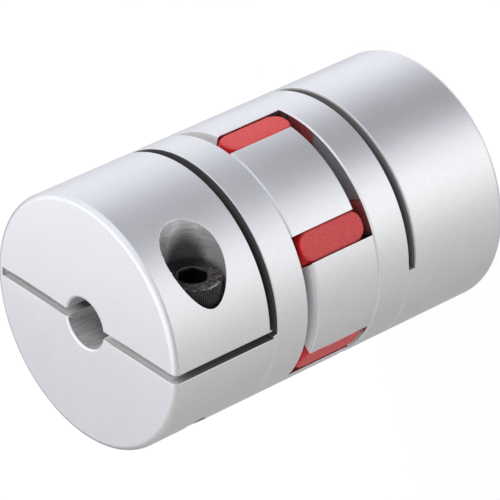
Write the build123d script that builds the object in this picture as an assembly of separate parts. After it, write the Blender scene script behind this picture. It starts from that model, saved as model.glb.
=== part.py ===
from build123d import *
from math import cos, radians, sin
import os

# Clamp-type jaw coupling: two slit hubs on one axis, a six-leg elastic spider between their
# jaws, and a socket-head clamp screw in each hub. Millimetres. The coupling stands on the
# lower hub's end face and its axis is Z. The upper screw's head faces +X, the lower one's -X.

# Hub blank
outer_diameter = 40.0
clamp_length = 18.2      # end face to the cross cut
cut_width = 1.45         # cross cut that frees the clamping half
root_length = 6.05       # cross cut to the floor that the jaws stand on
end_round = 1.0
corner_steps = 3         # straight steps that a rounded corner is turned in
bore_diameter = 8.0
bore_chamfer = 0.25
groove_depth = 0.25      # V groove round the foot of the jaws
scribe_depth = 0.12      # shallow V line that marks the cross cut all round
scribe_width = 0.5
scribe_inset = 0.3       # its middle to the jaw side of the cross cut

# Slit that the screw closes
slit_width = 1.4
web_thickness = 1.3      # left standing at the slit's closed end
cut_past_middle = 0.2    # the cross cut ends this far beyond the slit's middle plane

# Jaws and spider
jaw_count = 3
jaw_length = 12.15
jaw_edge = 0.2           # broken edges at the jaw tip
jaw_inner_diameter = 23.0
tip_gap = 1.95           # jaw tip to the other hub's floor
leg_width = 5.6          # widest place of a leg
leg_tip_width = 4.5      # width of a leg at the outer diameter
leg_recess = 0.2         # legs stay this far inside the outer diameter
leg_root = 0.5           # legs reach this far into the spider's ring
leg_end_gap = 0.95       # leg end to hub floor
leg_end_round = 2.0
leg_clearance = 0.05     # leg flank to jaw flank
ring_thickness = 3.0
ring_clearance = 0.5     # spider ring to the inside of the jaws
ring_step = 0.6          # the ring is this much lower than the legs at each end

# Clamp screw and its holes
thread_diameter = 5.0
thread_clearance = 0.05
thread_end_room = 1.3    # blind tapped hole beyond the screw's end
screw_length = 16.0
screw_point = 0.6
head_diameter = 8.5
head_height = 5.0
head_chamfer = 0.4
socket_width = 4.0
socket_depth = 2.6
counterbore_clearance = 0.55
counterbore_wall = 1.7   # metal outside the counterbore at its nearest
pass_clearance = 0.25    # round the screw in the half that it passes through
seat_height = 6.3        # counterbore floor above the slit's middle plane
screw_to_end = 8.8       # screw axis to the hub's end face

# Places that follow from the sizes
outer_radius = outer_diameter / 2
bore_radius = bore_diameter / 2
jaw_inner_radius = jaw_inner_diameter / 2
cut_end = clamp_length + cut_width
body_length = cut_end + root_length
jaw_tip = body_length + jaw_length
floor_gap = jaw_length + tip_gap
total_length = 2 * body_length + floor_gap
jaw_pitch = 360 / jaw_count
leg_count = 2 * jaw_count
leg_length = floor_gap - 2 * leg_end_gap
ring_radius = jaw_inner_radius - ring_clearance
counterbore_radius = head_diameter / 2 + counterbore_clearance
screw_offset = outer_radius - counterbore_wall - counterbore_radius
beyond = outer_radius + 5.0

# Flank arc of the barrel-shaped legs, widest halfway up the jaw
leg_middle = (jaw_inner_radius + outer_radius) / 2
flank_sagitta = (leg_width - leg_tip_width) / 2
flank_radius = ((outer_radius - leg_middle) ** 2 + flank_sagitta**2) / (2 * flank_sagitta)
flank_centre = flank_radius - leg_width / 2


def turned_corner(radius, height, size, first_angle):
    """Points round the rounded corner of a turned section, with its centre at this height."""
    points = []
    for step in range(corner_steps + 1):
        angle = radians(first_angle + 90 * step / corner_steps)
        points.append((radius - size + size * cos(angle), height + size * sin(angle)))
    return points


def leg_section(clearance):
    """Barrel-shaped section of one leg on the X axis."""
    near = Pos(leg_middle, -flank_centre) * Circle(flank_radius + clearance)
    far = Pos(leg_middle, flank_centre) * Circle(flank_radius + clearance)
    return near & far


def hub_blank():
    """Turned blank, end face at z = 0, with a plain ring where the jaws will be."""
    scribe_height = cut_end - scribe_inset
    section = Polyline(
        (bore_radius + bore_chamfer, 0),
        *turned_corner(outer_radius, end_round, end_round, -90),
        (outer_radius, scribe_height - scribe_width / 2),
        (outer_radius - scribe_depth, scribe_height),
        (outer_radius, scribe_height + scribe_width / 2),
        (outer_radius, body_length - groove_depth),
        (outer_radius - groove_depth, body_length),
        (outer_radius, body_length + groove_depth),
        (outer_radius, jaw_tip - jaw_edge),
        (outer_radius - jaw_edge, jaw_tip),
        (jaw_inner_radius + jaw_edge, jaw_tip),
        (jaw_inner_radius, jaw_tip - jaw_edge),
        (jaw_inner_radius, body_length),
        (bore_radius + bore_chamfer, body_length),
        (bore_radius, body_length - bore_chamfer),
        (bore_radius, bore_chamfer),
        close=True,
    )
    return revolve(Plane.XZ * make_face(section), Axis.Z)


def jaw_gap():
    """Space of one mating jaw, centred on the X axis, with a leg's room at each side."""
    half_angle = jaw_pitch / 4
    edge = Vector(2 * beyond, 0, 0).rotate(Axis.Z, half_angle)
    space = make_face(Polyline((0, 0), (edge.X, -edge.Y), (edge.X, edge.Y), close=True))
    for side in (-half_angle, half_angle):
        space += Rot(0, 0, side) * leg_section(leg_clearance)
    return Pos(0, 0, body_length) * extrude(space, floor_gap)


def screw_holes(place, tapped_end):
    """Counterbore and passage above the slit, tapped hole from the slit down to its end."""
    counterbore = Cylinder(counterbore_radius, beyond, align=(Align.CENTER, Align.CENTER, Align.MIN))
    passage = Cylinder(
        thread_diameter / 2 + pass_clearance, seat_height, align=(Align.CENTER, Align.CENTER, Align.MAX)
    )
    tapped = Pos(0, 0, -seat_height) * Cylinder(
        thread_diameter / 2 + thread_clearance,
        tapped_end - seat_height,
        align=(Align.CENTER, Align.CENTER, Align.MAX),
    )
    return [place * hole for hole in (counterbore, passage, tapped)]


def make_hub(place, tapped_end):
    """One hub, end face at z = 0 and jaws up, screw and open slit on the +Y side."""
    hub = hub_blank()
    for index in range(jaw_count):
        hub -= Rot(0, 0, 90 + index * jaw_pitch) * jaw_gap()
    slit_length = clamp_length + cut_width / 2
    slit = Pos(0, web_thickness - outer_radius, 0) * Box(
        slit_width, 2 * beyond, slit_length, align=(Align.CENTER, Align.MIN, Align.MIN)
    )
    cross_cut = Pos(-cut_past_middle, 0, clamp_length) * Box(
        beyond, 2 * beyond, cut_width, align=(Align.MIN, Align.CENTER, Align.MIN)
    )
    hub -= slit
    hub -= cross_cut
    for hole in screw_holes(place, tapped_end):
        hub -= hole
    return hub


def make_screw():
    """Socket-head screw, underside of the head at the origin, head towards +Z."""
    head = Cylinder(head_diameter / 2, head_height, align=(Align.CENTER, Align.CENTER, Align.MIN))
    head = chamfer(head.edges().group_by(Axis.Z)[-1], head_chamfer)
    shank = Cylinder(thread_diameter / 2, screw_length, align=(Align.CENTER, Align.CENTER, Align.MAX))
    shank = chamfer(shank.edges().group_by(Axis.Z)[0], screw_point)
    hexagon = RegularPolygon(socket_width / 2, 6, major_radius=False)
    socket = Pos(0, 0, head_height - socket_depth) * extrude(hexagon, head_height)
    return head + shank - socket


def make_leg():
    """One leg on the X axis: two discs with rounded rims meet in a barrel shape."""
    corner_height = leg_length / 2 - leg_end_round
    section = Polyline(
        (0, -leg_length / 2),
        *turned_corner(flank_radius, -corner_height, leg_end_round, -90),
        *turned_corner(flank_radius, corner_height, leg_end_round, 0),
        (0, leg_length / 2),
        close=True,
    )
    disc = revolve(Plane.XZ * make_face(section), Axis.Z)
    leg = Pos(leg_middle, -flank_centre) * disc & Pos(leg_middle, flank_centre) * disc
    leg &= Cylinder(outer_radius - leg_recess, leg_length)
    return leg - Cylinder(ring_radius - leg_root, leg_length)


def make_spider():
    """Ring with barrel-shaped legs, centred on the origin."""
    spider = Cylinder(ring_radius, leg_length - 2 * ring_step)
    spider -= Cylinder(ring_radius - ring_thickness, leg_length)
    leg = make_leg()
    for index in range(leg_count):
        spider += Rot(0, 0, index * 360 / leg_count) * leg
    return spider


# Places of a screw in a hub that stands with its jaws up, and the upper hub's turned place
head_front = Pos(seat_height, screw_offset, screw_to_end) * Rot(0, 90, 0)
head_back = Pos(-seat_height, screw_offset, screw_to_end) * Rot(0, -90, 0)
turned_over = Pos(0, 0, total_length) * Rot(180, 0, 0)

# The upper hub is tapped right through, the lower one's tapped hole is blind
upper_hub = turned_over * make_hub(head_front, beyond)
lower_hub = make_hub(head_back, screw_length + thread_end_room)
screw = make_screw()

nodes = {
    "lower_hub": lower_hub,
    "upper_hub": upper_hub,
    "spider": Pos(0, 0, total_length / 2) * make_spider(),
    "lower_clamp_screw": head_back * screw,
    "upper_clamp_screw": turned_over * head_front * screw,
}

os.makedirs("parts", exist_ok=True)
for name, solid in nodes.items():
    solid.label = name
    export_step(solid, f"parts/{name}.step")
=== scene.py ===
import math

import bmesh
import bpy
import numpy as np
from mathutils import Matrix, Vector


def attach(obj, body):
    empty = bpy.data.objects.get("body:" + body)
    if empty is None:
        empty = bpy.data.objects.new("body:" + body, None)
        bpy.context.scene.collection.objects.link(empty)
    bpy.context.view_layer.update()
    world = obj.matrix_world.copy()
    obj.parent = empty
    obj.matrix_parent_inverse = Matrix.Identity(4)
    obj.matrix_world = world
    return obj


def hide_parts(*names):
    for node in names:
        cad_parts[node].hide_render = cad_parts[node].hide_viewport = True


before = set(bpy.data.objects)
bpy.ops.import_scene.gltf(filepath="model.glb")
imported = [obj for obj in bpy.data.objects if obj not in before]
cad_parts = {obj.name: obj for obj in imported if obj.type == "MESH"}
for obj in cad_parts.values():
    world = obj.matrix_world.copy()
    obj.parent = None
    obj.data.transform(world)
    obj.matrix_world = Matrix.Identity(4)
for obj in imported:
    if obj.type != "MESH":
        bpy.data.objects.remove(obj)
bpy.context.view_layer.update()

scene = bpy.context.scene


# camera, at the photograph's angle

cameraValues = {
    "aim": (-0.000975, 0.000564, 0.03275),   # metres, a point on the middle plane
    "distance": 0.6688,
    "azimuth": -49.541,                      # degrees, from +X towards +Y
    "elevation": 34.979,
    "roll": -114.799,
    "lens": 323.12,                          # mm on a 36 mm sensor
}


def addCamera(values):
    azimuth, elevation = math.radians(values["azimuth"]), math.radians(values["elevation"])
    away = Vector((math.cos(elevation) * math.cos(azimuth), math.cos(elevation) * math.sin(azimuth),
                   math.sin(elevation)))
    turn = away.to_track_quat("Z", "Y").to_matrix().to_4x4()
    turn = turn @ Matrix.Rotation(math.radians(values["roll"]), 4, "Z")
    camera = bpy.data.objects.new("camera", bpy.data.cameras.new("camera"))
    camera.data.sensor_fit = "HORIZONTAL"
    camera.data.sensor_width = 36
    camera.data.lens = values["lens"]
    camera.data.clip_start = 0.02
    camera.data.clip_end = 20
    camera.matrix_world = Matrix.Translation(Vector(values["aim"]) + away * values["distance"]) @ turn
    scene.collection.objects.link(camera)
    scene.camera = camera


addCamera(cameraValues)
print("camera placed")


# shader maths

class Wire:              # one output socket, so that shader sums read as sums
    def __init__(self, sheet, socket):
        self.sheet, self.socket = sheet, socket

    def sum(self, operation, left, right):
        return self.sheet.node("Math", {"operation": operation}, {0: left, 1: right})

    def __add__(self, other): return self.sum("ADD", self, other)
    def __radd__(self, other): return self.sum("ADD", other, self)
    def __sub__(self, other): return self.sum("SUBTRACT", self, other)
    def __rsub__(self, other): return self.sum("SUBTRACT", other, self)
    def __mul__(self, other): return self.sum("MULTIPLY", self, other)
    def __rmul__(self, other): return self.sum("MULTIPLY", other, self)
    def __truediv__(self, other): return self.sum("DIVIDE", self, other)
    def __rtruediv__(self, other): return self.sum("DIVIDE", other, self)
    def __pow__(self, other): return self.sum("POWER", self, other)
    def __rpow__(self, other): return self.sum("POWER", other, self)
    def __abs__(self): return self.sum("ABSOLUTE", self, 0.0)


class Sheet:             # the node tree of one material or of the world
    def __init__(self, owner):
        owner.use_nodes = True
        self.tree = owner.node_tree
        self.tree.nodes.clear()

    def node(self, kind, settings=None, sockets=None, out=0):
        made = self.tree.nodes.new("ShaderNode" + kind)
        for key, value in (settings or {}).items():
            if key == "stops":
                ramp = made.color_ramp
                while len(ramp.elements) < len(value):
                    ramp.elements.new(0.5)
                for element, (place, colour) in zip(ramp.elements, value):
                    element.position = place
                    element.color = (*colour, 1) if isinstance(colour, tuple) else (colour,) * 3 + (1,)
            else:
                setattr(made, key, value)
        for key, value in (sockets or {}).items():
            if isinstance(value, Wire):
                self.tree.links.new(value.socket, made.inputs[key])
            else:
                made.inputs[key].default_value = value
        return Wire(self, made.outputs[out])

    def mixColour(self, share, first, second):
        first, second = [(*c, 1) if isinstance(c, tuple) else c for c in (first, second)]
        return self.node("Mix", {"data_type": "RGBA"}, {0: share, 6: first, 7: second}, out=2)

    def millimetres(self):
        place = self.node("TexCoord", out="Object")
        return self.node("VectorMath", {"operation": "SCALE"}, {0: place, "Scale": 1000.0})

    def parts(self, place, axes="XYZ"):
        return [self.node("SeparateXYZ", None, {0: place}, out=axis) for axis in axes]

    def stretched(self, place, x, y, z):
        return self.node("Mapping", None, {"Vector": place, "Scale": (x, y, z)})

    def noise(self, place, scale, detail=2.0, rough=0.5):
        return self.node("TexNoise", None, {"Vector": place, "Scale": scale, "Detail": detail, "Roughness": rough})

    def range(self, value, low, high, newLow=0.0, newHigh=1.0):
        return self.node("MapRange", None, {0: value, 1: low, 2: high, 3: newLow, 4: newHigh})

    def finish(self, shader, where="Material"):
        output = self.tree.nodes.new("ShaderNodeOutput" + where)
        self.tree.links.new(shader.socket, output.inputs[0])


# mesh helpers, in millimetres until scaled

def newPiece(name, points, faces):
    mesh = bpy.data.meshes.new(name)
    mesh.from_pydata([tuple(map(float, p)) for p in points], [], faces)
    mesh.validate()
    piece = bpy.data.objects.new(name, mesh)
    scene.collection.objects.link(piece)
    return piece


def settle(piece):
    # the modifiers become the mesh
    bpy.context.view_layer.update()
    mesh = bpy.data.meshes.new_from_object(piece.evaluated_get(bpy.context.evaluated_depsgraph_get()))
    piece.modifiers.clear()
    piece.data = mesh


def carve(piece, cutter, how="DIFFERENCE"):
    step = piece.modifiers.new("carve", "BOOLEAN")
    step.object, step.operation, step.solver = cutter, how, "EXACT"
    settle(piece)
    bpy.data.objects.remove(cutter)


def ringGrid(name, rings, capFirst=False, capLast=False):
    # rings of equally many points, each joined to the next; with no caps the last joins the first
    count = len(rings[0])
    points = [point for ring in rings for point in ring]
    faces = []
    last = len(rings) if not (capFirst or capLast) else len(rings) - 1
    for row in range(last):
        a, b = row * count, (row + 1) % len(rings) * count
        for k in range(count):
            n = (k + 1) % count
            faces.append((a + k, a + n, b + n, b + k))
    if capFirst:
        faces.append(tuple(reversed(range(count))))
    if capLast:
        faces.append(tuple(range(len(points) - count, len(points))))
    piece = newPiece(name, points, faces)
    outward(piece)
    return piece


def outward(piece):
    work = bmesh.new()
    work.from_mesh(piece.data)
    bmesh.ops.recalc_face_normals(work, faces=work.faces)
    work.to_mesh(piece.data)
    work.free()


def turned(name, profile, steps, phase=0.0):
    # closed profile of (radius, height) pairs turned round the Z axis
    rings = []
    for k in range(steps):
        angle = 2 * math.pi * (k + phase) / steps
        rings.append([(r * math.cos(angle), r * math.sin(angle), z) for r, z in profile])
    return ringGrid(name, rings)


def prism(name, outline, low, high):
    return ringGrid(name, [[(x, y, z) for x, y in outline] for z in (low, high)], True, True)


def block(name, low, high):
    corners = [(low[0], low[1]), (high[0], low[1]), (high[0], high[1]), (low[0], high[1])]
    return prism(name, corners, low[2], high[2])


def rodAlongX(name, centre, stations, steps):
    # rod on an axis along X; stations are (x, radius), radius a number or a function of x and angle
    rings = []
    for x, radius in stations:
        ring = []
        for k in range(steps):
            angle = 2 * math.pi * k / steps
            r = radius(x, angle) if callable(radius) else radius
            ring.append((x, centre[0] + r * math.cos(angle), centre[1] + r * math.sin(angle)))
        rings.append(ring)
    return ringGrid(name, rings, True, True)


def arc(centre, radius, first, last, count):
    # points round part of a circle, angles in degrees
    angles = [math.radians(first + (last - first) * k / count) for k in range(count + 1)]
    return [(centre[0] + radius * math.cos(a), centre[1] + radius * math.sin(a)) for a in angles]


def spin(x, y, degrees):
    angle = math.radians(degrees)
    return x * math.cos(angle) - y * math.sin(angle), x * math.sin(angle) + y * math.cos(angle)


def upsideDown():
    # turns the upper hub and its screw over, end for end
    return Matrix.Translation((0, 0, coupling["totalLength"])) @ Matrix.Rotation(math.pi, 4, "X")


def smoothByAngle(piece, degrees):
    piece.data.polygons.foreach_set("use_smooth", [True] * len(piece.data.polygons))
    piece.data.set_sharp_from_angle(angle=math.radians(degrees))


# sizes shared by the pieces, millimetres

coupling = {
    "outerRadius": 20.0,
    "totalLength": 65.5,
    "bodyLength": 25.7,
    "jawTip": 37.85,
    "jawInnerRadius": 11.5,
    "screwHeight": 8.8,       # screw axis to the hub's end face
    "screwSide": 13.5,        # screw axis beside the hub's middle
    "seat": 6.3,              # counterbore floor above the slit's middle plane
    "threadPitch": 0.8,
    "screwSpin": 17.0,        # degrees that a screw is turned
}

legForm = {"middle": 15.75, "halfWidth": 2.8, "tipHalfWidth": 2.25, "clearance": 0.05}
legForm["sagitta"] = legForm["halfWidth"] - legForm["tipHalfWidth"]
reach = coupling["outerRadius"] - legForm["middle"]
legForm["flankRadius"] = (reach ** 2 + legForm["sagitta"] ** 2) / (2 * legForm["sagitta"])
legForm["flankCentre"] = legForm["flankRadius"] - legForm["halfWidth"]


def threadRadius(x, angle, low, high):
    # radius of a right-hand thread, a truncated V with its crest at high
    turn = (x / coupling["threadPitch"] - angle / (2 * math.pi)) % 1
    ramp = abs(2 * turn - 1)
    return low + (high - low) * min(max((ramp - 0.12) / 0.7, 0), 1)


# aluminium hubs

hubValues = {
    "steps": 288,             # facets round the hub
    "endSteps": 9,            # facets over the end face's corner
    "skinRows": 16,           # rows of facets along the clamping half
    "jawRows": 6,             # and along the jaws
    "phase": 0.16,            # part of a facet that they are turned by, to stay clear of the holes' ends
    "endRound": 1.0,
    "boreRadius": 4.0,
    "boreChamfer": 0.25,
    "grooveDepth": 0.22,      # fine groove round the foot of the jaws
    "grooveHalfWidth": 0.2,
    "scribeHeight": 19.35,    # shallow line all round, in the cross cut's height
    "scribeDepth": 0.16,
    "scribeHalfWidth": 0.2,
    "jawEdge": 0.2,
    "slitHalfWidth": 0.7,
    "web": 1.3,               # left standing at the slit's closed end
    "slitEnd": 18.925,        # the slit ends within the cross cut
    "cutLow": 18.2,
    "cutHigh": 19.65,
    "cutFrom": -0.2,          # the cross cut ends just past the slit's middle
    "counterbore": 4.8,       # radii of the screw's holes
    "passage": 2.75,
    "tapped": 2.55,
    "tappedRoot": 2.14,
    "tappedEnd": 11.0,        # end of the lower hub's blind hole, from the slit's middle
    "threadTo": 12.2,         # the upper hub's through hole is plain from here out
    "crease": 28,             # degrees from which an edge is sharp
    "weld": 0.07,             # sharp edges shorter than this close up
    "edgeBreak": 0.15,
    # shares of the edge break: where the through hole comes out, along the grooves, round the counterbore,
    # at the slit's closed end and on the jaw tips
    "breakShares": {"mouth": 0.5, "groove": 0.3, "counterbore": 0.7, "slitEnd": 0.2, "tip": 0.5},
}


def hubProfile(v):
    big, low, high = coupling["outerRadius"], coupling["bodyLength"], coupling["jawTip"]
    inner, bore, edge = coupling["jawInnerRadius"], v["boreRadius"], v["jawEdge"]
    return [
        (bore + v["boreChamfer"], 0),
        *arc((big - v["endRound"], v["endRound"]), v["endRound"], -90, 0, v["endSteps"]),
        *[(big, height) for height in np.linspace(v["endRound"], v["cutLow"] - 1, v["skinRows"] + 1)[1:]],
        (big, v["scribeHeight"] - v["scribeHalfWidth"]),
        (big - v["scribeDepth"], v["scribeHeight"]),
        (big, v["scribeHeight"] + v["scribeHalfWidth"]),
        (big, low - v["grooveHalfWidth"]),
        (big - v["grooveDepth"], low),
        (big, low + v["grooveHalfWidth"]),
        *[(big, height) for height in np.linspace(low + 2, high - edge, v["jawRows"])],
        (big - edge, high),
        (inner + edge, high),
        (inner, high - edge),
        (inner, low),
        (bore + v["boreChamfer"], low),
        (bore, low - v["boreChamfer"]),
        (bore, v["boreChamfer"]),
    ]


def gapOutline():
    # the space between two jaws, centred on the X axis, bounded by the outer flanks of two legs
    radius = legForm["flankRadius"] + legForm["clearance"]
    half = math.sqrt(radius ** 2 - legForm["flankCentre"] ** 2)
    spread = math.degrees(math.asin(half / radius))
    flank = arc((legForm["middle"], -legForm["flankCentre"]), radius, 90 + spread, 90 - spread, 72)
    inner = coupling["jawInnerRadius"] - 0.7      # the cutter reaches a little further in than the jaws
    side = [spin(x, y, 30) for x, y in flank if math.hypot(x, y) > inner]
    edge = math.degrees(math.atan2(side[0][1], side[0][0]))
    return arc((0, 0), inner, edge, -edge, 40)[1:-1] + [(x, -y) for x, y in side] + list(reversed(side))


def creaseClean(piece, crease, distance, breakShare):
    # short edges along the sharp lines are welded, so that the edge break stays even, and the outer edges
    # are marked with the share of it that they get; no point with a share of 0 is moved
    work = bmesh.new()
    work.from_mesh(piece.data)

    def spot(part):
        return sorted(tuple(vert.co) for vert in getattr(part, "verts", [part]))

    for parts in (work.verts, work.edges, work.faces):      # the carving may leave them in another order each run
        rank = {part: k for k, part in enumerate(sorted(parts, key=spot))}
        parts.sort(key=rank.get)
    bmesh.ops.remove_doubles(work, verts=work.verts, dist=0.004)
    bmesh.ops.dissolve_degenerate(work, dist=0.002, edges=work.edges)
    sharp = set()
    for edge in work.edges:
        if len(edge.link_faces) == 2 and edge.calc_face_angle(0) > math.radians(crease):
            sharp.update(vert for vert in edge.verts if breakShare(vert.co))
    work.verts.index_update()
    bmesh.ops.remove_doubles(work, verts=sorted(sharp, key=lambda vert: vert.index), dist=distance)
    sharp, near = {vert for vert in sharp if vert.is_valid}, {}
    for edge in work.edges:
        first, second = edge.verts
        if edge.calc_length() < distance * 2 and (first in sharp) != (second in sharp):
            lone, kept = (second, first) if first in sharp else (first, second)
            if breakShare(lone.co):
                near[lone] = kept
    bmesh.ops.weld_verts(work, targetmap=near)
    bmesh.ops.dissolve_degenerate(work, dist=0.002, edges=work.edges)
    mark = work.edges.layers.float.new("bevel_weight_edge")
    for edge in work.edges:
        if len(edge.link_faces) == 2 and edge.calc_face_angle_signed(0) > math.radians(crease):
            edge[mark] = min(breakShare(vert.co) for vert in edge.verts)
    bmesh.ops.delete(work, geom=[edge for edge in work.edges if not edge.link_faces], context="EDGES")
    bmesh.ops.delete(work, geom=[vert for vert in work.verts if not vert.link_faces], context="VERTS")
    work.to_mesh(piece.data)
    work.free()


def trueNormals(piece, rods, rounds):
    # corner normals from the real surfaces: rods are (point, axis, radius, 1 for a shaft or -1 for a hole),
    # rounds are (ring radius, height, corner radius) about Z; a face marked 1 is an edge break and takes
    # its neighbours' normals
    mesh = piece.data

    def read(source, name, width, kind=float):
        values = np.empty(len(source) * width, kind)
        source.foreach_get(name, values)
        return values.reshape(-1, width) if width > 1 else values

    place = read(mesh.vertices, "co", 3)
    flat = read(mesh.polygons, "normal", 3)
    area = read(mesh.polygons, "area", 1)
    start = read(mesh.polygons, "loop_start", 1, int)
    size = read(mesh.polygons, "loop_total", 1, int)
    broken = read(mesh.polygons, "material_index", 1, int) == 1
    vertex = read(mesh.loops, "vertex_index", 1, int)
    corners = np.repeat(flat, size, axis=0)
    waiting = ~broken

    def unit(vectors):
        return vectors / np.maximum(np.linalg.norm(vectors, axis=1), 1e-9)[:, None]

    def settleWhere(hit, normals):
        corners[np.repeat(hit, size)] = normals[np.repeat(hit, size)]
        waiting[hit] = False

    for centre, axis, radius, side in rods:
        away = place - centre
        away = away - np.outer(away @ axis, axis)
        near = abs(np.linalg.norm(away, axis=1) - radius) < 0.03      # on the rod, give or take its facets
        away = unit(away) * side
        facing = np.sum(np.add.reduceat(away[vertex], start) / size[:, None] * flat, axis=1)
        near = np.logical_and.reduceat(near[vertex], start)
        settleWhere(waiting & near & ((facing > 0.9) | (area < 0.004)), away[vertex])
    out = np.hypot(place[:, 0], place[:, 1])
    for ringRadius, height, corner in rounds:
        away = np.stack([(out - ringRadius) * place[:, 0] / out, (out - ringRadius) * place[:, 1] / out,
                         place[:, 2] - height], 1)
        near = (abs(np.linalg.norm(away, axis=1) - corner) < 0.006) & (out > ringRadius - 1e-3) \
            & (away[:, 2] * np.sign(height - 32) > -1e-3)
        settleWhere(waiting & np.logical_and.reduceat(near[vertex], start), unit(away)[vertex])
    # what is left and was turned about Z, such as a chamfer
    middle = np.add.reduceat(place[vertex], start) / size[:, None]
    middle[:, 2] = 0
    middle = unit(middle)
    across = abs(flat[:, 1] * middle[:, 0] - flat[:, 0] * middle[:, 1])
    outward = np.repeat(np.sum(flat * middle, axis=1), size)
    cone = place[vertex] * (outward / out[vertex])[:, None]
    cone[:, 2] = np.repeat(flat[:, 2], size)
    settleWhere(waiting & (across < 0.03) & (abs(flat[:, 2]) < 0.999), unit(cone))
    # the edge breaks: a point's other faces lend their normal, unless it lies far from the break's own
    known, spare = np.zeros((len(place), 3)), np.zeros((len(place), 3))
    inBreak = np.repeat(broken, size)
    weight = np.repeat(area ** 0.5, size)[:, None]
    np.add.at(known, vertex[~inBreak], (corners * weight)[~inBreak])
    np.add.at(spare, vertex[inBreak], corners[inBreak])
    lost = np.linalg.norm(known, axis=1) < 1e-9
    known[lost] = spare[lost]
    shared, own = unit(known)[vertex[inBreak]], corners[inBreak]
    astray = np.sum(shared * own, axis=1) < 0.8
    shared[astray] = own[astray]
    corners[inBreak] = shared
    mesh.polygons.foreach_set("use_smooth", [True] * len(mesh.polygons))
    mesh.normals_split_custom_set(corners.tolist())


def machinedFaces(piece, v, headSide):
    # slot 0 is the blasted skin, 1 what a drill or counterbore left, 2 the slit and the cross cut, 3 the
    # milled spaces between the jaws and 4 the jaw tips; on the way in, slot 1 marks the edge breaks
    near, big = 0.01, coupling["outerRadius"]
    for face in piece.data.polygons:
        x, y, z = face.center
        normal, out = face.normal, math.hypot(x, y)
        away = math.hypot(y - coupling["screwSide"], z - coupling["screwHeight"])
        inHole = away < v["counterbore"] + near and x * headSide > coupling["seat"] - near
        inHole = inHole or away < v["passage"] + near or out < v["boreRadius"] + near
        onSkin = out > big - 0.04
        milled = z > coupling["bodyLength"] - 0.02 and (abs(normal.z) > 0.95 or out < big - 0.12)
        onSlit = abs(abs(x) - v["slitHalfWidth"]) < near and abs(normal.x) > 0.99
        onSlit = onSlit or abs(y + big - v["web"]) < near and normal.y > 0.99
        onSlit = onSlit and z < v["slitEnd"]
        onCut = v["cutLow"] - near < z < v["cutHigh"] + near and x > v["cutFrom"] - near \
            and (abs(normal.z) > 0.99 or abs(normal.x) > 0.99)
        if face.material_index == 1 or onSkin:
            face.material_index = 0
        elif onSlit or onCut:
            face.material_index = 2
        elif inHole:
            face.material_index = 1
        elif milled:
            face.material_index = 4 if z > coupling["jawTip"] - 0.05 else 3


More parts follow.
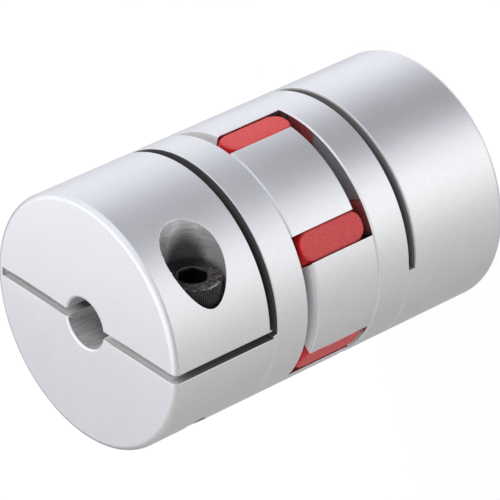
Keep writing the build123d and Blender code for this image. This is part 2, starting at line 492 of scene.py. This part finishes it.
def buildHub(v, headSide):
    # end face at z = 0 and jaws up; headSide is 1 where the screw's head faces +X
    hub = turned("hub_body", hubProfile(v), v["steps"], v["phase"])
    for k in range(3):
        gap = prism("gap", gapOutline(), coupling["bodyLength"], coupling["jawTip"] + 2)
        gap.data.transform(Matrix.Rotation(math.radians(90 + 120 * k), 4, "Z"))
        carve(hub, gap)
    big = coupling["outerRadius"]
    seat, beyond, root, slit = coupling["seat"], big + 5, v["tappedRoot"], v["slitHalfWidth"]
    carve(hub, block("slit", (-slit, v["web"] - big, -2), (slit, beyond, v["slitEnd"])))
    carve(hub, block("cut", (v["cutFrom"], -beyond, v["cutLow"]), (beyond, beyond, v["cutHigh"])))
    axis = (coupling["screwSide"], coupling["screwHeight"])
    tappedEnd = beyond if headSide > 0 else v["tappedEnd"]
    drills = ((v["counterbore"], seat, beyond), (v["passage"], 0, seat + 1), (root, 0, -tappedEnd))
    for radius, low, high in drills:
        carve(hub, rodAlongX("drill", axis, [(headSide * low, radius), (headSide * high, radius)], 128))

    def tap(x, angle):
        turn = math.radians(90 - coupling["screwSpin"]) + headSide * angle
        return threadRadius(headSide * x, turn, root - 0.02, v["tapped"])

    def breakShare(place):
        # share of the edge break that a point gets, none in the thread and in the cross cut
        shares, forward, y, z = v["breakShares"], place.x * headSide, place.y, place.z
        away, inside = math.hypot(y - axis[0], z - axis[1]), math.hypot(place.x, y) < big - 0.3
        if away < v["tapped"] + 0.05 and forward < -0.75:
            return shares["mouth"] if forward < -v["threadTo"] - 0.1 else 0.0
        if inside and v["cutLow"] - 0.3 < z < v["cutHigh"] + 0.3:
            return 0.0
        if not inside and (abs(z - coupling["bodyLength"]) < 0.2 or abs(z - v["scribeHeight"]) < 0.28):
            return shares["groove"]
        if abs(away - v["counterbore"]) < 0.3 and forward > seat - 0.2:
            return shares["counterbore"]
        if abs(place.x) < slit + 0.05 and y < v["web"] - big + 0.3:
            return shares["slitEnd"]
        return shares["tip"] if z > coupling["jawTip"] - 0.3 else 1.0

    start, pitch = 0.4, coupling["threadPitch"]         # the tap starts inside the slit
    rows = int((min(tappedEnd - 0.8, v["threadTo"]) - start) / pitch * 8)
    stations = [(-headSide * (start + pitch * k / 8), tap) for k in range(rows + 1)]
    carve(hub, rodAlongX("tap", axis, stations, 64))
    creaseClean(hub, v["crease"], v["weld"], breakShare)
    edges = hub.modifiers.new("edges", "BEVEL")
    edges.width, edges.segments, edges.profile = v["edgeBreak"], 2, 0.5
    edges.limit_method = "WEIGHT"
    edges.use_clamp_overlap = False
    edges.material = 1
    hub.data.materials.append(None)
    hub.data.materials.append(None)      # slot 1 marks the edge breaks
    settle(hub)
    print("hub carved", len(hub.data.vertices), "points")
    for point in hub.data.vertices:      # no point may stand out of the skin
        out = math.hypot(point.co.x, point.co.y)
        if out > big:
            point.co.x, point.co.y = point.co.x * big / out, point.co.y * big / out
    up, flankRadius = np.array([0, 0, 1.0]), legForm["flankRadius"] + legForm["clearance"]
    screwLine, ownLine = (np.array([0, *axis]), np.array([1.0, 0, 0])), (np.zeros(3), up)
    rods = [(*screwLine, v["counterbore"], -1), (*screwLine, v["passage"], -1)]
    for k in range(6):
        for side in (-1, 1):
            middle = spin(legForm["middle"], side * legForm["flankCentre"], 60 * k)
            rods.append((np.array([*middle, 0]), up, flankRadius, -1))
    rods += [(*screwLine, root, -1), (*ownLine, big, 1), (*ownLine, coupling["jawInnerRadius"], -1),
             (*ownLine, v["boreRadius"], -1)]
    trueNormals(hub, rods, [(big - v["endRound"], v["endRound"], v["endRound"])])
    machinedFaces(hub, v, headSide)
    return hub


def placeHub(name, node, headSide, turnedOver):
    piece = buildHub(hubValues, headSide)
    piece.name = name
    if turnedOver:
        piece.data.transform(upsideDown())
    piece.data.transform(Matrix.Scale(0.001, 4))
    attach(piece, "root")
    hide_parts(node)
    return piece


lowerHub = placeHub("lower_hub_dressed", "lower_hub", -1, False)
upperHub = placeHub("upper_hub_dressed", "upper_hub", 1, True)
print("hubs placed")


# spider

spiderValues = {
    "legHalfLength": 6.1,     # at the outer face
    "bodyHalfLength": 6.85,   # further in
    "taperFrom": 14.0,        # from one to the other between here and the outer face
    "bodyEndRound": 1.2,
    "legEndRound": 2.2,
    "legFrom": 10.2,
    "bowFrom": 15.0,          # from here out the leg's sections bow to the outer face
    "outerFace": 19.8,
    "edgeRound": 0.5,
    "ringRadius": 11.0,
    "ringHole": 8.0,
    "ringHalfHeight": 5.5,
    "ringRound": 0.6,
}


def legWidth(x):
    return math.sqrt(legForm["flankRadius"] ** 2 - (x - legForm["middle"]) ** 2) - legForm["flankCentre"]


def legLoop(x, inset, v):
    # rounded section across the leg, shrunk by the inset
    share = min(max((x - v["taperFrom"]) / (v["outerFace"] - v["edgeRound"] - v["taperFrom"]), 0), 1)
    half, bodyRound = legWidth(x) - inset, v["bodyEndRound"]
    length = v["bodyHalfLength"] + (v["legHalfLength"] - v["bodyHalfLength"]) * share - inset
    corner = max(min(bodyRound + (v["legEndRound"] - bodyRound) * share - inset, half - 0.01), 0.004)
    loop = []
    for sx, sz, first in ((1, 1, 0), (-1, 1, 90), (-1, -1, 180), (1, -1, 270)):
        loop += arc((sx * (half - corner), sz * (length - corner)), corner, first, first + 90, 8)
    return loop


def buildLeg(v):
    # rings from inside the spider's ring out to the face, then over its rounded edge and across it
    outer, edge, rings = v["outerFace"], v["edgeRound"], []

    def bowed(x, bow, loop):
        return [(x - bow * (outer - math.sqrt(outer ** 2 - y * y)), y, z) for y, z in loop]

    body = np.linspace(v["legFrom"], v["taperFrom"], 8)
    for x in (*body, *np.linspace(v["taperFrom"], outer - edge, 7)[1:]):
        rings.append(bowed(x, max(0.0, (x - v["bowFrom"]) / (outer - v["bowFrom"])), legLoop(x, 0, v)))
    for k in range(1, 7):
        angle = math.radians(15 * k)
        loop = legLoop(outer - edge, edge * (1 - math.cos(angle)), v)
        rings.append(bowed(outer - edge + edge * math.sin(angle), 1, loop))
    for inset in (0.75, 1.05, 1.35, 1.65, 2.0):
        rings.append(bowed(outer, 1, legLoop(outer - edge, inset, v)))
    return ringGrid("leg", rings, True, True)


def buildSpider(v):
    low, high, r = -v["ringHalfHeight"], v["ringHalfHeight"], v["ringRound"]
    outer, hole = v["ringRadius"], v["ringHole"]
    profile = [*arc((outer - r, low + r), r, -90, 0, 5), *arc((outer - r, high - r), r, 0, 90, 5),
               *arc((hole + r, high - r), r, 90, 180, 5), *arc((hole + r, low + r), r, 180, 270, 5)]
    spider = turned("spider_dressed", profile, 180)
    for k in range(6):
        leg = buildLeg(v)
        leg.data.transform(Matrix.Rotation(math.radians(60 * k), 4, "Z"))
        carve(spider, leg, "UNION")
    spider.data.transform(Matrix.Scale(0.001, 4) @ Matrix.Translation((0, 0, coupling["totalLength"] / 2)))
    smoothByAngle(spider, 40)
    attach(spider, "root")
    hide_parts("spider")
    return spider


spider = buildSpider(spiderValues)
print("spider made", len(spider.data.vertices), "points")


# clamp screws

screwValues = {
    "steps": 360,             # points round the screw
    "knurls": 90,
    "knurlDepth": 0.10,
    "headRadius": 4.25,
    "headHeight": 5.0,
    "headRound": 0.4,
    "socket": 4.0,            # across flats
    "socketDepth": 2.6,
    "length": 16.0,
    "crest": 2.48,            # radii of the thread
    "root": 2.06,
    "plain": 0.9,             # plain neck under the head
}


def buildScrew(v):
    # rings from the socket's bottom out over the head and down the threaded shank
    steps = v["steps"]
    angles = [2 * math.pi * k / steps for k in range(steps)]
    flat = v["socket"] / 2

    def hexagon(angle, size):
        return size / math.cos((angle + math.pi / 6) % (math.pi / 3) - math.pi / 6)

    def knurled(angle, depth):
        return depth * (0.5 - 0.5 * math.cos(v["knurls"] * angle)) ** 0.7

    big, top, edge = v["headRadius"], v["headHeight"], v["headRound"]
    rings = []

    def ring(radius, height):
        rings.append([(radius(a) * math.cos(a), radius(a) * math.sin(a), height) for a in angles])

    ring(lambda a: 0.05, top - v["socketDepth"] - 0.45)
    ring(lambda a: flat * 0.93, top - v["socketDepth"])
    ring(lambda a: hexagon(a, flat), top - v["socketDepth"])
    ring(lambda a: hexagon(a, flat), top - 0.28)
    ring(lambda a: max(hexagon(a, flat), flat * 1.08), top - 0.2)
    ring(lambda a: flat * 1.19, top)
    ring(lambda a: big - edge - 0.35, top)
    for k in range(5):
        angle = math.radians(22.5 * k)
        depth = v["knurlDepth"] * (0, 0, 0, 0.2, 0.7)[k]
        rim = big - edge + edge * math.sin(angle)
        ring(lambda a: rim - knurled(a, depth), top - edge + edge * math.cos(angle))
    for k in range(1, 9):
        ring(lambda a: big - knurled(a, v["knurlDepth"]), top - edge - (top - edge - 0.55) * k / 8)
    ring(lambda a: big - knurled(a, v["knurlDepth"] * 0.3), 0.3)
    ring(lambda a: big - 0.08, 0.2)
    ring(lambda a: big - 0.28, 0)
    ring(lambda a: v["crest"] + 0.1, 0)
    ring(lambda a: v["crest"] - 0.02, -0.15)
    depth = v["plain"]
    ring(lambda a: v["crest"] - 0.02, -depth)
    rows = int((v["length"] - depth) / coupling["threadPitch"] * 8)
    for k in range(1, rows):
        z = -depth - (v["length"] - depth) * k / rows
        lead = min(1, k / 8)
        tip = max(0, (-z - (v["length"] - 0.6)) / 0.6)
        ring(lambda a: min(threadRadius(z + coupling["seat"], a, v["root"], v["crest"]) * lead
                           + v["crest"] * (1 - lead), v["crest"] - 0.75 * tip), z)
    ring(lambda a: v["crest"] - 0.8, -v["length"])
    screw = ringGrid("screw_blank", rings, True, True)
    screw.data.transform(Matrix.Rotation(math.radians(coupling["screwSpin"]), 4, "Z"))
    return screw


def placeScrew(name, node, headSide, turnedOver):
    piece = buildScrew(screwValues)
    piece.name = name
    seat = Vector((headSide * coupling["seat"], coupling["screwSide"], coupling["screwHeight"]))
    place = Matrix.Translation(seat) @ Matrix.Rotation(headSide * math.pi / 2, 4, "Y")
    if turnedOver:
        place = upsideDown() @ place
    piece.data.transform(Matrix.Scale(0.001, 4) @ place)
    smoothByAngle(piece, 34)
    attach(piece, "root")
    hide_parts(node)
    return piece


lowerScrew = placeScrew("lower_clamp_screw_dressed", "lower_clamp_screw", -1, False)
upperScrew = placeScrew("upper_clamp_screw_dressed", "upper_clamp_screw", 1, True)
print("screws made", len(upperScrew.data.vertices), "points each")


# finishes

aluminiumValues = {
    "colour": (0.91, 0.91, 0.912),
    "shade": (0.80, 0.80, 0.807),
    "roughness": (0.31, 0.375),          # lower hub and upper hub
    "grain": 4.2,             # bead marks per millimetre
    "grainDepth": 0.009,      # millimetres
    # bore and counterbore: tones of the tool's rings, share of metal and roughness
    "rings": ((0.66, 0.66, 0.68), (0.96, 0.96, 0.96)),
    "ringMetal": 0.78,
    "ringRoughness": 0.22,
    # tone and share of metal of the milled floors and flanks, and of the jaw tips, whose lighter tone is painted
    # light; the tips' outer rim gets more painted light
    "milled": ((0.70, 0.70, 0.715), 0.96),
    "tips": ((0.78, 0.78, 0.80), 0.12),
    "tipEdge": (0.88, 0.88, 0.895),
    # cross cut of the lower hub and of the upper one: painted shade deep inside, painted light near the skin
    "cut": ((0.17, 0.07), (0.95, 0.12)),
    "tappedTone": (0.10, 0.10, 0.10),    # darker tone inside the tapped hole
    "oily": ((0.10, 0.10, 0.11), 0.85),  # painted shade in the counterbore, above the head, and its strength
    # walls of the slit by their distance from the end face, in 20 mm: within the hub, and near its open side; their
    # tones are painted light a little way in from the end face and painted shade deeper in
    "sawnWithin": [(0.0, 0.32), (0.02, 0.45), (0.05, 0.80), (0.075, 0.97), (0.11, 0.80), (0.20, 0.17)],
    "sawnOpenSide": [(0.0, 0.50), (0.06, 0.46), (0.12, 0.26), (0.20, 0.17), (0.40, 0.14), (0.86, 0.09)],
}


def blastedAluminium(v):
    material = bpy.data.materials.new("satin_aluminium")
    sheet = Sheet(material)
    place = sheet.millimetres()
    cloud = sheet.noise(place, 0.22, 3.0)
    grain = sheet.noise(place, v["grain"], 2.0, 0.6)
    fine = sheet.noise(place, v["grain"] * 2.3, 1.0)
    speck = sheet.range(grain * 0.65 + fine * 0.35, 0.36, 0.64)
    tone = sheet.mixColour(sheet.range(cloud * 0.35 + speck * 0.65, 0.1, 0.9), v["shade"], v["colour"])
    bump = sheet.node("Bump", None, {"Strength": 0.55, "Distance": v["grainDepth"] / 1000, "Height": speck})
    height, = sheet.parts(place, "Z")
    rough = sheet.range(height, 26.0, 44.0, *v["roughness"]) - 0.03 + cloud * 0.04 + speck * 0.03
    sheet.finish(sheet.node("BsdfPrincipled", None, {"Base Color": tone, "Metallic": 1.0, "Roughness": rough,
                                                     "Normal": bump}))
    return material


def screwPlace(sheet, place):
    # where a point lies by the screw of its own hub: distance from the slit's plane, outwards and inwards of
    # the screw's axis, and distance from it
    x, y, z = sheet.parts(place)
    half = coupling["totalLength"] / 2
    aside, along = abs(y) - coupling["screwSide"], half - abs(z - half) - coupling["screwHeight"]
    return abs(x), aside, along, (aside * aside + along * along) ** 0.5


def cutAluminium(v):
    # bore and counterbore: fine rings left by the tool, round the screw axis
    material = bpy.data.materials.new("machined_aluminium")
    sheet = Sheet(material)
    place = sheet.millimetres()
    wander = sheet.noise(place, 0.5, 2.0)
    height = sheet.noise(sheet.stretched(place, 2.2, 0.16, 0.16), 1.5, 5.0, 0.7)
    tone = sheet.mixColour(sheet.range(height, 0.34, 0.62), *v["rings"])
    x, aside, along, away = screwPlace(sheet, place)
    # painted shade: a darker tone on the counterbore's wall above the head
    shadeTone, strength = v["oily"]
    oily = sheet.range((along * 0.436 - aside * 0.9) / away - x * 0.045, 0.19, 0.38)
    tone = sheet.mixColour(oily * sheet.range(away, 5.6, 5.2) * strength, tone, shadeTone)
    tone = sheet.mixColour(sheet.range(away, 2.7, 2.6), tone, v["tappedTone"])
    bump = sheet.node("Bump", None, {"Strength": 0.7, "Distance": 0.00004, "Height": height})
    sheet.finish(sheet.node("BsdfPrincipled", None, {"Base Color": tone, "Metallic": v["ringMetal"], "Normal": bump,
                                                     "Roughness": v["ringRoughness"] + wander * 0.08}))
    return material


def milledAluminium(v, part):
    # floors and flanks of the jaws, or their tips, with the end mill's fine steps along the axis
    material = bpy.data.materials.new(part + "_aluminium")
    colour, metal = v[part]
    sheet = Sheet(material)
    place = sheet.millimetres()
    steps = sheet.noise(sheet.stretched(place, 0.6, 0.6, 5.0), 1.4, 3.0, 0.6)
    grain = sheet.noise(place, v["grain"], 2.0)
    dull = tuple(0.86 * c for c in colour)
    tone = sheet.mixColour(sheet.range(steps * 0.6 + grain * 0.4, 0.35, 0.65), dull, colour)
    if part == "tips":
        x, y = sheet.parts(place, "XY")
        # painted light along the jaw tips' outer rim
        tone = sheet.mixColour(sheet.range((x * x + y * y) ** 0.5, 19.3, 19.9), tone, v["tipEdge"])
    bump = sheet.node("Bump", None, {"Strength": 0.5, "Distance": 0.00001, "Height": steps})
    sheet.finish(sheet.node("BsdfPrincipled", None, {"Base Color": tone, "Metallic": metal, "Normal": bump,
                                                     "Roughness": 0.13 + grain * 0.08}))
    return material


def sawnAluminium(v):
    # walls of the slit and the cross cut: dull, with faint lines along the saw's travel, and with light and shade
    # painted by depth
    material = bpy.data.materials.new("sawn_aluminium")
    sheet = Sheet(material)
    place = sheet.millimetres()
    lines = sheet.noise(sheet.stretched(place, 2.0, 0.35, 6.0), 2.0, 3.0, 0.6)
    half = coupling["totalLength"] / 2
    x, y, z = sheet.parts(place)
    inward = half - abs(z - half)
    out = (x * x + y * y) ** 0.5
    # painted light and shade on the slit's walls, by depth from the end face
    within, nearOpenSide = [sheet.node("ValToRGB", {"stops": v[stops]}, {0: inward / 20.0})
                            for stops in ("sawnWithin", "sawnOpenSide")]
    openSide = sheet.range(out, 18.2, 18.7) * sheet.range(y * (half - z), 0.0, 1.0)
    tone = sheet.mixColour(openSide, within, nearOpenSide)
    # painted shade deep in the cross cut and painted light near the skin, set for each hub
    inCut = sheet.range(inward, 17.9, 18.1)
    inside, outside = [sheet.range(z, 20.0, 45.0, *pair) for pair in v["cut"]]
    nearSkin = sheet.range(out, 19.5, 19.95)
    tone = sheet.mixColour(inCut, tone, inside + nearSkin * (outside - inside))
    tone = sheet.mixColour(lines * 0.25, tone, (0.05, 0.05, 0.05))
    bump = sheet.node("Bump", None, {"Strength": 0.4, "Distance": 0.00001, "Height": lines})
    sheet.finish(sheet.node("BsdfPrincipled", None, {"Base Color": tone, "Metallic": 0.1, "Normal": bump,
                                                     "Roughness": 0.46 + lines * 0.08}))
    return material


spiderFinish = {
    "colour": (0.50, 0.012, 0.014),
    "deep": (0.40, 0.008, 0.010),
    "paleSheen": (0.40, 0.034, 0.036),      # painted sheen: paler skin of the legs' outer faces
    "sheenFrom": 19.58,                 # millimetres from the axis
    "roughness": 0.42,
}


def redPolyurethane(v):
    material = bpy.data.materials.new("red_polyurethane")
    sheet = Sheet(material)
    place = sheet.millimetres()
    mottle = sheet.noise(place, 2.4, 4.0, 0.6)
    fine = sheet.noise(place, 9.0, 2.0)
    tone = sheet.mixColour(sheet.range(mottle, 0.3, 0.7), v["deep"], v["colour"])
    x, y = sheet.parts(place, "XY")
    # painted sheen: the legs' outer faces are paler, and rougher
    paleSheen = sheet.range((x * x + y * y) ** 0.5, v["sheenFrom"], v["sheenFrom"] + 0.12)
    pale = sheet.mixColour(sheet.range(mottle * 0.5 + fine * 0.5, 0.38, 0.66),
                           tuple(0.80 * c for c in v["paleSheen"]), tuple(1.35 * c for c in v["paleSheen"]))
    tone = sheet.mixColour(paleSheen, tone, pale)
    bump = sheet.node("Bump", None, {"Strength": 0.5, "Distance": 0.00002, "Height": mottle * 0.6 + fine * 0.4})
    rough = v["roughness"] - 0.05 + mottle * 0.1 + paleSheen * 0.12
    sheet.finish(sheet.node("BsdfPrincipled", None, {"Base Color": tone, "Roughness": rough, "Normal": bump,
                                                     "IOR": 1.5}))
    return material


screwFinish = {
    "colour": (0.006, 0.006, 0.007),
    # tone of mottles kept to one side of the head: partly wear, partly painted light
    "wearOnLitSide": (0.11, 0.088, 0.082),
    "edge": (0.30, 0.29, 0.29),          # pale tone of the painted glint on the head's rim and of the painted highlights on the knurl crests, faint at the socket's mouth
    "metal": 0.4,
    "roughness": 0.27,
}


def blackSteel(v):
    material = bpy.data.materials.new("blackened_steel")
    sheet = Sheet(material)
    place = sheet.millimetres()
    x, aside, along, away = screwPlace(sheet, place)
    below = coupling["seat"] + screwValues["headHeight"] - x      # depth under the head's top
    cloud = sheet.noise(place, 1.7, 4.0, 0.6)
    fine = sheet.noise(place, 9.0, 2.0)
    # painted highlights on the knurl crests
    crest = sheet.range(away, 4.19, 4.25) * sheet.range(below, 0.35, 0.6)
    # painted light on one side of the head, painted shade on the other
    litSide = sheet.range((aside * 0.95 + along * 0.32) / away, 0.0, 0.9) * sheet.range(away, 2.2, 2.5)
    wearOnLitSide = sheet.range(cloud * 0.7 + fine * 0.3, 0.44, 0.64) * (litSide * 0.93 + 0.07)
    wearOnLitSide = wearOnLitSide * sheet.range(below, 0.5, 0.3)
    tone = sheet.mixColour(wearOnLitSide, v["colour"], v["wearOnLitSide"])
    # painted glint on a short arc of the head's rim, patchy round the rest of it, and a faint pale ring at the
    # socket's mouth
    rim = sheet.range(abs(away - 4.1), 0.16, 0.05) * sheet.range(abs(below - 0.12), 0.16, 0.05)
    mouth = sheet.range(abs(away - 2.3), 0.12, 0.03) * sheet.range(below, 0.4, 0.2)
    glintSide = sheet.range((aside * 0.989 + along * 0.146) / away, 0.94, 0.985)
    paleSheen = rim * (glintSide * 0.9 + sheet.range(cloud, 0.5, 0.64) * 0.3) + mouth * 0.12
    tone = sheet.mixColour(paleSheen + crest * 0.35, tone, v["edge"])
    bump = sheet.node("Bump", None, {"Strength": 0.5, "Distance": 0.00001, "Height": fine})
    rough = v["roughness"] - 0.06 + cloud * 0.12
    sheet.finish(sheet.node("BsdfPrincipled", None, {"Base Color": tone, "Metallic": v["metal"] + paleSheen * 0.6,
                                                     "Roughness": rough, "Normal": bump,
                                                     "Specular IOR Level": 0.2}))
    return material


aluminium = [finish(aluminiumValues) for finish in (blastedAluminium, cutAluminium, sawnAluminium)]
aluminium += [milledAluminium(aluminiumValues, part) for part in ("milled", "tips")]
for hub in (lowerHub, upperHub):
    places = [face.material_index for face in hub.data.polygons]
    hub.data.materials.clear()
    for material in aluminium:
        hub.data.materials.append(material)
    hub.data.polygons.foreach_set("material_index", places)
spider.data.materials.clear()
spider.data.materials.append(redPolyurethane(spiderFinish))
blackened = blackSteel(screwFinish)
for screw in (lowerScrew, upperScrew):
    screw.data.materials.clear()
    screw.data.materials.append(blackened)
print("finishes made")


# studio

studio = {
    "plain": 0.62,            # world brightness for everything that isn't a mirror
    "floor": 0.92,
    "floorGlow": 0.88,        # share of plain white that the camera sees in it; the rest keeps the shadow
    "floorSize": 3.0,
    "lampAim": (0, 0, 0.03),
    "lamps": [
        # place in metres, size and power in watts
        ((0.76, 0.22, 0.45), 0.6, 6.5),
        ((0.05, -0.60, 0.75), 0.6, 3.5),
        ((-0.55, 0.30, 0.70), 0.6, 2.0),
    ],
    "nearCards": [
        # seen by metal only: place, width and height in metres, turn in degrees, brightness
        ((0.0, 0.014, 0.112), 0.06, 0.20, 0.0, 0.31),
    ],
    # tint of the cards by degrees from +X
    "tints": [(-180, (0.995, 0.985, 0.98)), (-140, (0.99, 0.985, 0.99)), (-110, (0.985, 0.985, 1.01)),
              (-70, (0.99, 0.99, 1.005)), (-20, (0.966, 0.978, 1.055)), (90, (0.966, 0.978, 1.05)),
              (150, (0.972, 0.98, 1.03)), (180, (0.995, 0.985, 0.98))],
    # pale and grey cards that metal sees round it: at each height in degrees, the brightness by degrees from +X
    "cards": {
        -30: [(-180, 0.45), (-150, 0.53), (-120, 0.63), (-105, 0.73), (-90, 0.91), (-75, 1.10), (-60, 1.21),
              (-45, 1.09), (-30, 0.84), (-15, 0.44), (0, 0.34), (15, 0.37), (30, 0.53), (45, 0.81), (60, 0.96),
              (75, 1.00), (90, 0.99), (105, 0.67), (120, 0.52), (135, 0.66), (150, 0.46), (180, 0.45)],
        0: [(-180, 0.55), (-120, 0.49), (-90, 0.37), (-75, 0.38), (-60, 0.44), (-45, 0.50), (-30, 0.75), (-15, 0.99),
            (15, 1.01), (45, 1.05), (60, 1.03), (75, 0.94), (90, 0.72), (105, 0.35), (120, 0.14), (150, 0.20),
            (165, 0.41), (180, 0.55)],
        30: [(-180, 0.51), (-135, 0.63), (-105, 0.56), (-90, 0.64), (-75, 0.72), (-60, 0.83), (-45, 0.90),
             (-30, 0.94), (0, 0.97), (15, 0.98), (45, 0.96), (75, 0.94), (90, 0.90), (120, 0.83), (135, 0.73),
             (150, 0.65), (165, 0.56), (180, 0.51)],
        60: [(-180, 0.96), (-150, 0.84), (-90, 0.82), (-60, 0.90), (-30, 0.94), (0, 0.98), (60, 1.02), (105, 1.02),
             (120, 0.95), (150, 0.90), (180, 0.90)],
    },
}


def lightPath(sheet, *rays):
    total = 0.0
    for ray in rays:
        total = sheet.node("LightPath", out="Is %s Ray" % ray) + total
    return total


def whiteFloor(level, share):
    material = bpy.data.materials.new("floor_white")
    sheet = Sheet(material)
    seen = lightPath(sheet, "Camera", "Glossy", "Transmission")
    plain = sheet.node("BsdfDiffuse", None, {"Color": (level, level, level, 1)})
    glow = sheet.node("Emission", None, {"Color": (1, 1, 1, 1), "Strength": 1.0})
    sheet.finish(sheet.node("MixShader", None, {0: seen * share, 1: plain, 2: glow}))
    return material


def ringRamp(sheet, turn, levels, peak):
    # a ramp round the world; its stops may not pass 1, so they are divided by the peak
    stops = [(angle / 360 + 0.5, tuple(c / peak for c in level) if isinstance(level, tuple) else level / peak)
             for angle, level in levels]
    return sheet.node("ValToRGB", {"stops": stops}, {0: turn})


def buildWorld(v):
    world = bpy.data.worlds.new("studio")
    world.cycles.sampling_method = "NONE"
    scene.world = world
    sheet = Sheet(world)
    way = sheet.node("TexCoord", out="Generated")
    x, y, z = sheet.parts(way)
    turn = sheet.node("Math", {"operation": "ARCTAN2"}, {0: y, 1: x}) / (2 * math.pi) + 0.5
    rise = sheet.node("Math", {"operation": "ARCSINE"}, {0: z}) * math.degrees(1)
    heights, cardPeak, tintPeak = sorted(v["cards"]), 1.5, 1.1
    cards = ringRamp(sheet, turn, v["cards"][heights[0]], cardPeak)
    for low, high in zip(heights, heights[1:]):
        upper = ringRamp(sheet, turn, v["cards"][high], cardPeak)
        cards = sheet.mixColour(sheet.range(rise, low, high), cards, upper)
    tints = ringRamp(sheet, turn, v["tints"], tintPeak)
    cards = sheet.node("VectorMath", {"operation": "MULTIPLY"}, {0: cards, 1: tints})
    cards = sheet.node("VectorMath", {"operation": "SCALE"}, {0: cards, "Scale": cardPeak * tintPeak})
    plain = (v["plain"], v["plain"], v["plain"])
    colour = sheet.mixColour(lightPath(sheet, "Glossy"), plain, cards)
    colour = sheet.mixColour(lightPath(sheet, "Camera", "Transmission"), colour, (1, 1, 1))
    sheet.finish(sheet.node("Background", None, {"Color": colour, "Strength": 1.0}), "World")


def buildStudio(v):
    buildWorld(v)
    corners = ((-1, -1), (1, -1), (1, 1), (-1, 1))
    floor = ringGrid("floor", [[(x * size, y * size, -0.00002) for x, y in corners]
                               for size in (v["floorSize"], 0.0001)], False, True)
    floor.data.materials.append(whiteFloor(v["floor"], v["floorGlow"]))
    floor.visible_glossy = False
    for k, (place, across, power) in enumerate(v["lamps"]):
        lamp = bpy.data.objects.new("softbox_%d" % k, bpy.data.lights.new("softbox_%d" % k, "AREA"))
        lamp.data.shape, lamp.data.size, lamp.data.energy = "DISK", across, power
        lamp.location = place
        lamp.rotation_euler = (Vector(place) - Vector(v["lampAim"])).to_track_quat("Z", "Y").to_euler()
        lamp.visible_glossy = False
        scene.collection.objects.link(lamp)


def addNearCards(cards, aim):
    # area lamps that only metal sees, facing the aim
    for k, (place, width, height, turn, level) in enumerate(cards):
        card = bpy.data.objects.new("card_%d" % k, bpy.data.lights.new("card_%d" % k, "AREA"))
        card.data.shape, card.data.size, card.data.size_y = "RECTANGLE", width, height
        card.data.energy = level * math.pi * width * height
        face = (Vector(place) - Vector(aim)).to_track_quat("Z", "Y").to_matrix().to_4x4()
        card.matrix_world = Matrix.Translation(place) @ face @ Matrix.Rotation(math.radians(turn), 4, "Z")
        card.visible_diffuse = card.visible_camera = card.visible_transmission = False
        scene.collection.objects.link(card)


buildStudio(studio)
addNearCards(studio["nearCards"], (0, 0, coupling["totalLength"] / 1000))
scene.view_settings.view_transform = "Standard"
print("studio lit")
